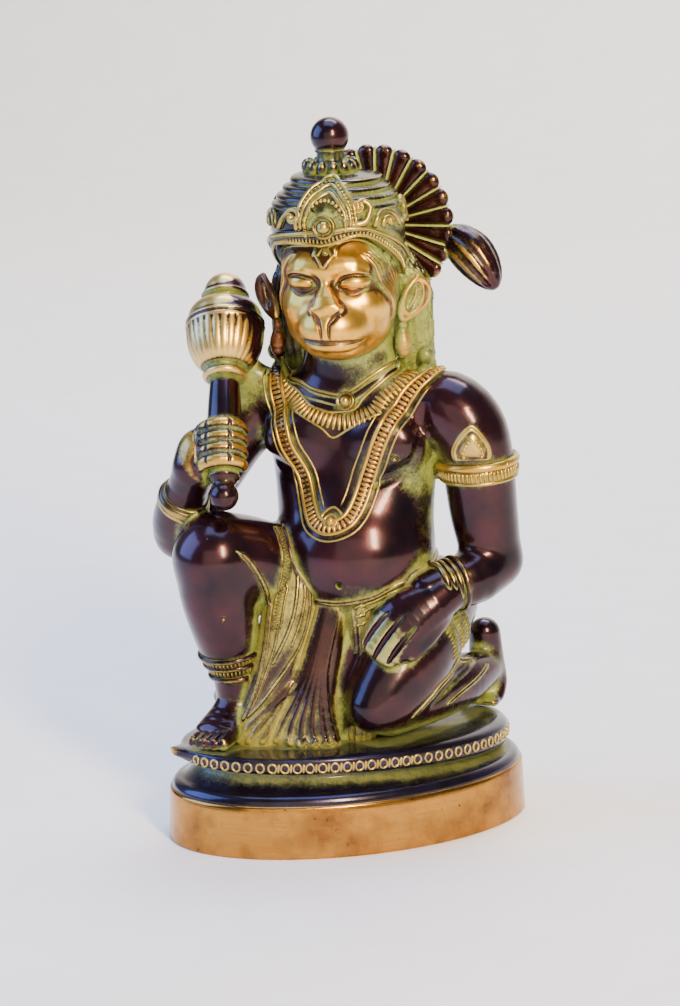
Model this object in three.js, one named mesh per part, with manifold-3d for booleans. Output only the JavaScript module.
// Cast brass figure of Hanuman, kneeling on one knee with his mace, on an oval stepped plinth.
// Millimetres, +Z up. The origin is the centre of the plinth's underside.
// The figure faces -Y, and +X is on its left-hand side.
import * as THREE from 'three';
import { mergeVertices } from 'three/addons/utils/BufferGeometryUtils.js';
import Module from 'manifold-3d';

// Driving sizes of the figure
const FIGURE_HEIGHT = 207;
const PEDESTAL_GAP = 0.3;

// Driving sizes of the plinth, in millimetres and degrees
const PLINTH_TURN = 40;
const SLAB_MARGIN = 3;
const BAND_STEP = 6;
const BAND_HEIGHT = 18;
const BAND_TAPER = 0.8;
const SHOULDER_RISE = 3;
const SHOULDER_STEP = 3.6;
const SHOULDER_ROUND = 1;
const COVE_RISE = 1.5;
const COVE_DEPTH = 4.2;
const RIM_THICK = 10.5;
const RIM_THIN = 5.5;
const RIM_SWELL = 0.7;
const LIP_REACH = 2.4;
const LIP_WIDTH = 9;
const LIP_HEIGHT = 3.2;

// Driving counts of the carving, and the sides of the oval
const HALO_PETALS = 24;
const MACE_RIBS = 12;
const SASH_FOLDS = 7;
const THIGH_PLEATS = 3;
const TUFT_STRANDS = 8;
const PLINTH_SIDES = 56;

// The pose is drawn on a figure 207 units high, so every place and girth below is a share of its height
const share = FIGURE_HEIGHT / 207;
const turn = THREE.MathUtils.degToRad;
const FRONT = new THREE.Vector3(0, -1, 0);
const ABOVE = new THREE.Vector3(0, 0, 1);

const wasm = await Module();
wasm.setup();

// A closed solid from a geometry, with its shared corners merged and empty faces dropped
function solid(geometry) {
  const bare = geometry.clone();
  bare.deleteAttribute('normal');
  bare.deleteAttribute('uv');
  const merged = mergeVertices(bare, 1e-4);
  const corners = merged.index.array;
  const faces = [];
  for (let i = 0; i < corners.length; i += 3) {
    const [a, b, c] = [corners[i], corners[i + 1], corners[i + 2]];
    if (a !== b && b !== c && c !== a) faces.push(a, b, c);
  }
  const mesh = new wasm.Mesh({
    numProp: 3,
    vertProperties: merged.attributes.position.array,
    triVerts: new Uint32Array(faces),
  });
  return new wasm.Manifold(mesh);
}

// All geometries joined into one solid, with the small pockets that they close off between them filled
function joined(geometries) {
  const whole = geometries.map(solid).reduce((sum, piece) => sum.add(piece));
  return wasm.Manifold.compose(whole.decompose().filter((shell) => shell.volume() > 0));
}

// A named mesh from a joined solid
function meshOf(name, whole, finish) {
  const result = whole.getMesh();
  const geometry = new THREE.BufferGeometry();
  geometry.setAttribute('position', new THREE.BufferAttribute(result.vertProperties, result.numProp));
  geometry.setIndex(new THREE.BufferAttribute(result.triVerts, 1));
  geometry.computeVertexNormals();
  const mesh = new THREE.Mesh(geometry, new THREE.MeshStandardMaterial(finish));
  mesh.name = name;
  return mesh;
}

// A ball or egg of the figure: place, half sizes, and turns about X, Y and Z in degrees
function egg(place, size, { turns = [0, 0, 0], sides = 8, rings = 6 } = {}) {
  const geometry = new THREE.SphereGeometry(1, sides, rings);
  geometry.rotateX(Math.PI / 2);
  geometry.scale(size[0] * share, size[1] * share, size[2] * share);
  geometry.rotateX(turn(turns[0]));
  geometry.rotateY(turn(turns[1]));
  geometry.rotateZ(turn(turns[2]));
  geometry.translate(place[0] * share, place[1] * share, place[2] * share);
  return geometry;
}

// A limb, fold or strap: a ball whose rings slide along a curve through the stations.
// Each station is [x, y, z, half width, half depth], and facing is the way its depth points.
// Each band is [share of the length, half its width, its height]: a bangle or pleat round the limb.
// A flute draws every second line of the side in, which gives folds or strands.
function limb(stations, form = {}) {
  const { sides = 8, rings = stations.length + 1, facing = FRONT } = form;
  const { blunt = 0.8, flute = 0, bands = [] } = form;
  const points = stations.map(([x, y, z]) => new THREE.Vector3(x, y, z).multiplyScalar(share));
  const girths = stations.map((s) => new THREE.Vector3(s[3], s[4] ?? s[3], 0).multiplyScalar(share));
  const path = new THREE.CatmullRomCurve3(points, false, 'centripetal');
  const girth = new THREE.CatmullRomCurve3(girths, false, 'catmullrom');
  const rows = [[0, 0], [1, 0]];
  for (let i = 1; i < rings - 1; i += 1) {
    const t = i / (rings - 1);
    if (bands.every(([middle, half]) => Math.abs(t - middle) > half * 1.5)) rows.push([t, 0]);
  }
  for (const [middle, half, height] of bands) {
    rows.push([middle - half * 1.3, 0], [middle - half, height]);
    rows.push([middle + half, height], [middle + half * 1.3, 0]);
  }
  rows.sort((a, b) => a[0] - b[0]);
  const last = rows.length - 1;
  const geometry = new THREE.SphereGeometry(1, sides, last + 4);
  const places = geometry.attributes.position;
  const place = new THREE.Vector3();
  for (let i = 0; i < places.count; i += 1) {
    const row = Math.floor(i / (sides + 1)) - 2;
    const line = (i % (sides + 1)) % sides;
    const angle = (line / sides) * 2 * Math.PI;
    const drawn = line % 2 === 1 ? 1 - flute : 1;
    const [t, height] = rows[THREE.MathUtils.clamp(row, 0, last)];
    const along = path.getTangent(t);
    const across = along.clone().cross(facing).normalize();
    const depth = along.clone().cross(across);
    const size = girth.getPoint(t).addScalar(height * share);
    // The two rows beyond each end close it with a low dome
    const beyond = row < 0 ? -row : Math.max(0, row - last);
    const shrink = [1, 0.66, 0][beyond] * drawn;
    const push = [0, 0.72, 1][beyond] * blunt * Math.min(size.x, size.y) * Math.sign(row);
    place.copy(path.getPoint(t));
    place.addScaledVector(along, push);
    place.addScaledVector(across, -Math.cos(angle) * size.x * shrink);
    place.addScaledVector(depth, Math.sin(angle) * size.y * shrink);
    places.setXYZ(i, place.x, place.y, place.z);
  }
  return geometry;
}

// A form turned about an axis from a profile of [radius, distance along the axis]
function turned(profile, foot, axis, sides = 24) {
  const outline = profile.map(([radius, along]) => new THREE.Vector2(radius * share, along * share));
  const geometry = new THREE.LatheGeometry(outline, sides);
  const upright = new THREE.Vector3(0, 1, 0);
  const spin = new THREE.Quaternion().setFromUnitVectors(upright, axis.clone().normalize());
  geometry.applyQuaternion(spin);
  geometry.translate(foot[0] * share, foot[1] * share, foot[2] * share);
  return geometry;
}

// Where a share of the way from one place to another lies
function between(from, to, part) {
  return from.map((value, i) => THREE.MathUtils.lerp(value, to[i], part));
}

// Trunk: seat, round belly, chest, shoulders and thick neck
function trunk() {
  return [
    limb([
      [5, 13, 28, 24, 17], [5, 7, 44, 24.5, 20], [5.4, 1, 59, 26, 24], [5, 2.4, 71, 26.6, 21.6],
      [4.6, 4, 84, 29, 18.6], [4.4, 5, 98, 30, 18], [4, 6, 110, 29, 14.5], [4, 6, 119, 20, 12],
      [3.5, 5, 134, 16.5, 12],
    ], { sides: 16 }),
    egg([-8, -6, 100], [16, 7, 11], { turns: [12, -6, 0] }),
    egg([17.6, -5.4, 100], [16, 7, 11], { turns: [12, 6, 0] }),
  ];
}

// Face and skull, drawn facing -Y about the middle of the head
const HEAD_PLACE = [1.5, 2.5, 148];
const HEAD_YAW = 5;
function head() {
  const pieces = [
    egg([0, 0, 1], [19.4, 21, 22], { sides: 12, rings: 7 }),
    egg([0, -5, -8.6], [18.4, 15, 12.4], { sides: 10 }),
    egg([0.6, -16, -8], [12.2, 11, 9.8], { sides: 12, rings: 7 }),
    egg([0.6, -19.5, -16], [8, 6, 3.4], { sides: 6, rings: 5 }),
    limb([[0, -18, 9, 3.4, 3], [0.3, -22.5, 4, 3.6, 3], [0.6, -26, 0, 5, 3.2]], { sides: 5, rings: 3 }),
    limb([[-10, -19.6, -11.2, 1.8, 1.2], [0.6, -26.8, -14.6, 2.4, 1.3], [11.2, -19.6, -11.2, 1.8, 1.2]],
      { sides: 5, facing: ABOVE }),
  ];
  for (const side of [-1, 1]) {
    pieces.push(egg([0.6 + side * 4.8, -25.2, -1.6], [2.8, 2.6, 2.3], { sides: 5, rings: 3 }));
    pieces.push(egg([side * 8.8, -16.2, 6.6], [5.2, 3.6, 3], { sides: 7, rings: 4 }));
    const brow = [[2.4, -19.6, 8.6, 1.8], [8.6, -18.8, 11.4, 2.1], [15.5, -13, 8.6, 1.8]];
    pieces.push(limb(brow.map(([x, ...rest]) => [side * x, ...rest]), { sides: 5, rings: 3 }));
    // Ear with the drop hanging from it
    const drop = [[side * 22.4, 1.5, -9, 2.2], [side * 22.2, 1, -15, 1.8], [side * 22.2, 0.5, -20, 2.8]];
    const tilt = [-14, side * 10, 0];
    pieces.push(egg([side * 22.2, 5.5, -1.5], [3.4, 5.4, 7.6], { turns: tilt, sides: 6, rings: 5 }));
    pieces.push(limb(drop, { sides: 5, rings: 3 }));
  }
  return pieces.map((piece) => {
    piece.rotateZ(turn(HEAD_YAW));
    piece.translate(...HEAD_PLACE.map((value) => value * share));
    return piece;
  });
}

// Hair that hangs behind the ears and spreads on the shoulders
function hair() {
  return [
    limb([
      [1.6, 13, 160, 21.6, 10], [1.4, 14, 146, 27, 10], [1.8, 14, 130, 28, 11], [3.6, 17, 116, 27, 7],
      [4, 19, 104, 22, 5],
    ], { sides: 12, rings: 5 }),
  ];
}

// Crown of stepped tiers with a ball, turned on its own upright axis
const CROWN_PLACE = [1.5, 3, 0];
const CROWN_TIERS = [
  [0, 159], [20.6, 159], [22.9, 165.6], [21.8, 167.4], [23.1, 170], [23.1, 176], [20.2, 177.8],
  [20.2, 180.4], [17, 182], [17, 185], [12.6, 187.6], [12.6, 190.4], [8.8, 191.4], [8.8, 194],
  [4.2, 195.4], [0, 197],
];
function crown() {
  const radius = 22.6;
  const onBand = (angle, height, out = 0) => [
    CROWN_PLACE[0] + (radius + out) * Math.sin(turn(angle)),
    CROWN_PLACE[1] - (radius + out) * Math.cos(turn(angle)),
    height,
  ];
  const front = HEAD_YAW;
  const pieces = [
    turned(CROWN_TIERS, CROWN_PLACE, ABOVE, 18),
    egg([CROWN_PLACE[0], CROWN_PLACE[1], 200.7], [6.3, 6.3, 6.3], { sides: 10, rings: 8 }),
    egg(onBand(front, 172.6), [4, 2, 4], { sides: 6, rings: 4 }),
    egg(onBand(front, 162.5, -0.6), [3.4, 2, 5.4], { turns: [6, 0, 0], sides: 6, rings: 4 }),
  ];
  // Arch over the middle flower, then a curled leaf and a flower on each side
  const arch = [-10, 40, 90, 140, 190].map((swing) => {
    const lean = THREE.MathUtils.radToDeg((-6.8 * Math.cos(turn(swing))) / radius);
    return [...onBand(front + lean, 172.6 + 6.8 * Math.sin(turn(swing))), 1.4];
  });
  pieces.push(limb(arch, { sides: 4, rings: 5, facing: ABOVE }));
  for (const side of [-1, 1]) {
    const leaf = [[21, 169, 1.5], [29, 176, 1.7], [40, 171, 1.4]];
    const curl = leaf.map(([angle, height, girth]) => [...onBand(front + side * angle, height), girth]);
    pieces.push(limb(curl, { sides: 4, rings: 4, facing: ABOVE }));
    pieces.push(egg(onBand(front + side * 62, 172.8, -0.6), [3.4, 3.4, 3.8], { sides: 5, rings: 4 }));
  }
  return pieces;
}

// Fluted disc behind the head: a turned plate whose rim and faces swell on every petal
const HALO_PLACE = [7.4, 26, 168];
const HALO_RADIUS = 27;
function halo() {
  const plate = turned(
    [[0, -2.4], [HALO_RADIUS * 0.86, -1.7], [HALO_RADIUS, 0], [HALO_RADIUS * 0.86, 1.7], [0, 2.4]],
    [0, 0, 0], FRONT, HALO_PETALS * 2);
  const places = plate.attributes.position;
  for (let i = 0; i < places.count; i += 1) {
    const [x, y, z] = [places.getX(i), places.getY(i), places.getZ(i)];
    const reach = Math.hypot(x, z) / (HALO_RADIUS * share);
    const swell = 0.5 + 0.5 * Math.cos(HALO_PETALS * Math.atan2(z, x));
    const rim = 1 - 0.07 * (1 - swell) * reach ** 4;
    places.setXYZ(i, x * rim, y * (1 - 0.5 * (1 - swell) * Math.min(1, reach * 1.6)), z * rim);
  }
  plate.translate(...HALO_PLACE.map((value) => value * share));
  return [plate];
}

// Tail up the back and out past the halo's edge, ending in a tuft of long strands
function tail() {
  return [
    limb([
      [5, 33, 27, 7], [6.5, 32, 42, 6.4], [8, 27, 66, 5.6], [9, 25, 92, 5.2], [10.5, 27, 118, 5],
      [13, 28.5, 140, 4.8], [18.6, 31, 154.5, 4.5], [25, 32, 161.5, 4.2], [31, 31, 163.4, 3.6],
    ], { sides: 6 }),
    limb([
      [31.4, 30.6, 163.4, 3], [34.8, 29.4, 161.6, 5.8], [39.4, 28.2, 158.4, 7], [43.4, 27.4, 154, 6.2],
      [47, 26.7, 149.4, 2.4],
    ], { sides: TUFT_STRANDS * 2, rings: 5, flute: 0.14 }),
  ];
}

// Mace: its line runs from the pommel below the fist back to the bulb on the shoulder
const MACE_POMMEL = [-27.5, -35, 86];
const MACE_BULB = [-38.4, -1, 134.4];
const MACE_LINE = new THREE.Vector3(...MACE_BULB).sub(new THREE.Vector3(...MACE_POMMEL));
const HANDLE_RADIUS = 6;
const BULB_RADIUS = 13.1;
function mace() {
  const ahead = -MACE_LINE.length();
  const outline = [
    [0, -16.4], [7.4, -16], [6.4, -13.4], [9.6, -9.8], [12.6, -4.6], [BULB_RADIUS, 0.6],
    [BULB_RADIUS, 3], [12, 5], [6.6, 11.4], [8, 12.6], [7.2, 16.6], [0, 22.6],
  ];
  const bulb = turned(outline, MACE_BULB, MACE_LINE, MACE_RIBS * 2);
  const shaft = turned([[0, ahead - 2], [HANDLE_RADIUS - 1.4, ahead - 1], [HANDLE_RADIUS - 0.8, ahead + 6],
    [HANDLE_RADIUS, -13], [0, -13]], MACE_BULB, MACE_LINE, 10);
  // Every second line of the bulb's lower half is drawn in, so that it is ribbed like a gourd
  const line = MACE_LINE.clone().normalize();
  const centre = new THREE.Vector3(...MACE_BULB).multiplyScalar(share);
  const places = bulb.attributes.position;
  const place = new THREE.Vector3();
  for (let i = 0; i < places.count; i += 1) {
    place.fromBufferAttribute(places, i).sub(centre);
    const along = place.dot(line);
    const segment = Math.floor(i / outline.length);
    const ribbed = segment % 2 === 1 && along < 1 * share && along > -12 * share;
    if (ribbed) place.addScaledVector(line, -along).multiplyScalar(0.94).addScaledVector(line, along);
    place.add(centre);
    places.setXYZ(i, place.x, place.y, place.z);
  }
  const web = limb([[-30, 3, 118, 7, 5], [-37, -1, 128, 6, 5]], { sides: 6, rings: 2 });
  return [bulb, shaft, egg(MACE_POMMEL, [4.8, 4.8, 4.8]), web];
}

// Arm on the mace's side: elbow out beside the raised knee, fist closed on the handle
function maceArm() {
  const elbow = [-53, -12, 67];
  const wrist = [-44.8, -24, 85];
  const line = MACE_LINE.clone().normalize();
  const onHandle = (along, out) => {
    const place = new THREE.Vector3(...MACE_POMMEL).addScaledVector(line, along);
    return [place.x - 0.8 - out, place.y - 1 - out * 0.4, place.z];
  };
  // The fist's rolls, one above the other along the handle, are its four fingers
  const fingers = [0.12, 0.37, 0.63, 0.88].map((part) => [part, 0.07, 1.3]);
  return [
    limb([
      [-24, 7, 110, 12], [-33, 6, 107, 12], [-42, -1, 90, 10.4], [-49.6, -8, 75, 9.2], [...elbow, 8.4],
    ], { rings: 5 }),
    limb([
      [...elbow, 8.4], [-52, -16, 72, 8.8], [-48.4, -21, 79.4, 8.2], [...wrist, 7.4],
      [-41.6, -26.4, 91, 7.2],
    ], { bands: [[0.72, 0.07, 1.4]] }),
    egg([-38.6, -27.4, 97.4], [7.6, 8, 9.6], { turns: [-20, 0, 0], sides: 8, rings: 6 }),
    limb([[...onHandle(8.6, 0), 8.2, 7.6], [...onHandle(26.4, 0.6), 8.2, 7.6]],
      { sides: 7, rings: 3, bands: fingers, blunt: 0.3 }),
  ];
}

// Arm on the other side, hanging to an elbow out behind, hand laid on the kneeling thigh
function restingArm() {
  const elbow = [49.8, 12, 57.5];
  const wrist = [38.4, -6, 52.4];
  const pieces = [
    limb([
      [32, 8, 110, 12.5], [43.4, 6.6, 108, 12.2], [46.2, 8, 95, 12], [47.6, 10, 72, 11.6], [...elbow, 9.8],
    ], { sides: 10, bands: [[0.6, 0.045, 1.5]] }),
    limb([[...elbow, 9.6], [46.4, 4, 54, 9.6], [42.4, -2, 52.6, 8.4], [...wrist, 7.6], [33, -12, 50, 7.2]],
      { bands: [[0.5, 0.035, 1.2], [0.66, 0.035, 1.2]] }),
    limb([[35, -9.6, 50.4, 8.4, 6], [30, -15, 48.6, 10, 5.8], [26, -19.4, 45.4, 10, 5]],
      { rings: 3, facing: new THREE.Vector3(0, -1, 1) }),
    egg([44, -3, 93.6], [6, 2.6, 6.8], { turns: [4, 0, 12], sides: 6 }),
  ];
  // Fingers, from knuckle to tip, side by side down the thigh
  const knuckles = [[21.6, -18.6, 50.4], [23.8, -19.4, 46], [27.8, -18.6, 43.2], [32, -16.4, 41]];
  const tips = [[14.8, -26, 36.6], [19.8, -26.4, 32.6], [23.8, -26, 30.6], [28.4, -24.6, 32.4]];
  knuckles.forEach((knuckle, i) => {
    const middle = between(knuckle, tips[i], 0.5);
    const bent = [middle[0], middle[1] - 1.2, middle[2] + 0.6];
    pieces.push(limb([[...knuckle, 3], [...bent, 3], [...tips[i], 2.3]], { sides: 5, rings: 3 }));
  });
  return pieces;
}

// Leg on the mace's side, knee raised and foot flat
function raisedLeg() {
  const toes = 5;
  const pieces = [
    limb([[-6, 12, 36, 16], [-16, -4, 50, 16], [-25, -18, 60, 15], [-33, -28, 64.6, 15]],
      { sides: 12, rings: 4 }),
    limb([
      [-33.4, -28.6, 63, 14.8], [-33, -29, 50, 12.8], [-31.6, -26.4, 36, 11], [-31, -22.6, 24, 8],
      [-30.6, -20.6, 12, 7.4],
    ], { sides: 10, bands: [[0.7, 0.03, 1.3], [0.79, 0.03, 1.3]] }),
    limb([
      [-29.4, -12.6, 6, 6.6, 6], [-30.6, -20, 8.4, 7.2, 8.2], [-33, -29, 6, 8.2, 5.6],
      [-34.4, -34.6, 4, 8.2, 3.8],
    ], { rings: 4 }),
  ];
  for (let i = 0; i < toes; i += 1) {
    const part = i / (toes - 1);
    const girth = 2 + 0.7 * part;
    const tip = [-39.6 + 12 * part, -35.6 - 5 * Math.sin(2.2 * part), girth + 0.3];
    pieces.push(egg(tip, [girth, 4.2, girth + 0.2], { turns: [0, 0, -14], sides: 5, rings: 3 }));
  }
  return pieces;
}

// Leg on the other side, kneeling on the slab with the heel up behind
function kneelingLeg() {
  const pleats = Array.from({ length: THIGH_PLEATS }, (_, i) => [0.16 + 0.12 * i, 0.028, 1.1]);
  return [
    limb([
      [24, 20, 40, 17, 16], [24, 8, 34, 17, 17], [22.4, -3, 25, 16, 16.4], [18.6, -12, 15.4, 12.8, 13.8],
      [17, -17.6, 12.6, 9.4, 9.6],
    ], { sides: 11, bands: pleats }),
    limb([[19, -9, 9.6, 9.6], [26, 6, 11.4, 11], [33, 20, 12, 9.6], [37, 30, 12.6, 7.4], [38, 35, 13, 6.6]],
      { rings: 5 }),
    limb([[38, 38, 25, 6, 6], [38, 39.6, 15, 6.4, 5.4], [38, 40.4, 7, 7.4, 4.6], [37.4, 36.6, 3, 7.8, 3]],
      { rings: 4, facing: ABOVE.clone().add(FRONT) }),
  ];
}

// Loincloth: the mass between the legs, the panel by the raised leg, the hips and the pleated sash
function loincloth() {
  return [
    limb([[4, 4, 34, 23, 17], [0, -3, 20, 20, 17], [-4, -6, 4, 18, 18]], { sides: 10, rings: 3 }),
    limb([[-7, -13, 58, 9, 7], [-12, -19, 44, 9.4, 8], [-17, -22.6, 26, 8.6, 8], [-21, -24, 8, 8, 8]],
      { sides: 7, rings: 4 }),
    limb([[4, 12, 44, 26, 21], [4, 10, 38, 27, 21]], { sides: 14, rings: 2 }),
    limb([
      [2, -14.6, 47, 8.4, 4.4], [0, -18, 35, 10.4, 5.4], [-4, -20.4, 20, 13, 6.2], [-8, -25, 2.4, 17.6, 6.6],
    ], { sides: SASH_FOLDS * 4, rings: 4, flute: 0.15, blunt: 0.3 }),
  ];
}

// Jewellery cast on the chest: petal collar, long double garland and its domed pendant
function jewellery() {
  const collar = [
    [-18, 4, 125], [-14, -6.4, 119.6], [-5, -13.4, 114.4], [6, -16, 112.6], [17, -13, 114.4],
    [25, -6, 119.6], [28, 4, 125],
  ];
  const garland = [
    [-23.4, 4, 121], [-20.6, -8, 108], [-12.4, -14.6, 92], [-4.4, -18.6, 79], [-0.6, -21, 74],
    [4.6, -22, 72], [10, -21.4, 74.4], [14, -19.6, 80], [20.6, -15.6, 92], [28, -10.6, 108],
    [33, -2, 120], [33.4, 5, 125],
  ];
  const sloping = ABOVE.clone().add(FRONT);
  return [
    limb(collar.map((place) => [...place, 3.6, 3]), { sides: 5, rings: 9, facing: sloping }),
    limb(garland.map((place) => [...place, 3.2, 2.8]), { sides: 5, rings: 13 }),
    egg([4.6, -21, 79], [4.4, 3.6, 4.2], { sides: 6, rings: 5 }),
    egg([6.4, -17, 116.6], [3.6, 2.6, 3.6], { sides: 6, rings: 4 }),
  ];
}

// Oval plinth, turned from a profile of [inset from the slab's edge, height] and wider than the stance
const STANCE_LENGTH = 54 * share;
const STANCE_WIDTH = 33 * share;
const SHOULDER_TOP = BAND_HEIGHT + SHOULDER_RISE;
const RIM_FOOT = SHOULDER_TOP + COVE_RISE;
const SLAB_TOP = RIM_FOOT + RIM_THICK;
function plinth() {
  const length = STANCE_LENGTH + SLAB_MARGIN;
  const width = STANCE_WIDTH + SLAB_MARGIN;
  const profile = [
    [width, 0], [-BAND_STEP, 0], [-BAND_STEP + BAND_TAPER, BAND_HEIGHT],
    [SHOULDER_STEP - BAND_STEP, BAND_HEIGHT + SHOULDER_RISE * 0.7],
    [SHOULDER_STEP - BAND_STEP + SHOULDER_ROUND, SHOULDER_TOP],
    [COVE_DEPTH, SHOULDER_TOP + COVE_RISE * 0.3], [COVE_DEPTH, RIM_FOOT], [0, RIM_FOOT + RIM_THICK * 0.12],
    [-RIM_SWELL, RIM_FOOT + RIM_THICK * 0.4], [-RIM_SWELL, SLAB_TOP - RIM_THICK * 0.25],
    [RIM_SWELL * 2, SLAB_TOP], [width, SLAB_TOP],
  ];
  const outline = profile.map(([inset, height]) => new THREE.Vector2(width - inset, height));
  const body = new THREE.LatheGeometry(outline, PLINTH_SIDES);
  body.rotateX(Math.PI / 2);
  const places = body.attributes.position;
  for (let i = 0; i < places.count; i += 1) {
    const [x, y, height] = [places.getX(i), places.getY(i), places.getZ(i)];
    const reach = Math.hypot(x, y);
    const oval = reach > 0 ? (length - width + reach) / reach : 1;
    // The rim is deep behind the kneeling foot and thins towards the raised one
    const depth = reach > 0 ? (0.5 + (0.5 * x) / reach) ** 1.6 : 0;
    const squeeze = THREE.MathUtils.lerp(RIM_THIN, RIM_THICK, depth) / RIM_THICK;
    const rim = height >= RIM_FOOT - 1e-6;
    places.setXYZ(i, x * oval, y, rim ? SLAB_TOP - (SLAB_TOP - height) * squeeze : height);
  }
  // Pointed lip at the rim's thin end
  const lip = new THREE.ConeGeometry(LIP_WIDTH / 2, LIP_REACH * 3, 8);
  lip.rotateZ(Math.PI / 2);
  lip.scale(1, 1, LIP_HEIGHT / LIP_WIDTH);
  lip.translate(-length - RIM_SWELL + LIP_REACH / 2, 0, SLAB_TOP - LIP_HEIGHT * 0.6);
  return [body, lip].map((piece) => piece.rotateZ(turn(PLINTH_TURN)));
}

const figurePieces = [
  ...trunk(), ...head(), ...hair(), ...crown(), ...halo(), ...tail(), ...mace(), ...maceArm(),
  ...restingArm(), ...raisedLeg(), ...kneelingLeg(), ...loincloth(), ...jewellery(),
];

// What hangs below the soles is cut off flat, so that the figure sits on its slab
const below = new THREE.BoxGeometry(FIGURE_HEIGHT, FIGURE_HEIGHT, FIGURE_HEIGHT);
below.translate(0, 0, -FIGURE_HEIGHT / 2);
const DARK_BRONZE = { color: 0x3a2320, roughness: 0.32, metalness: 0.85 };
const RUBBED_BRASS = { color: 0xb07a35, roughness: 0.35, metalness: 0.9 };
const figure = meshOf('figure', joined(figurePieces).subtract(solid(below)), DARK_BRONZE);
figure.position.z = SLAB_TOP + PEDESTAL_GAP;

const work = new THREE.Group();
work.add(figure);
work.add(meshOf('plinth', joined(plinth()), RUBBED_BRASS));

export default work;
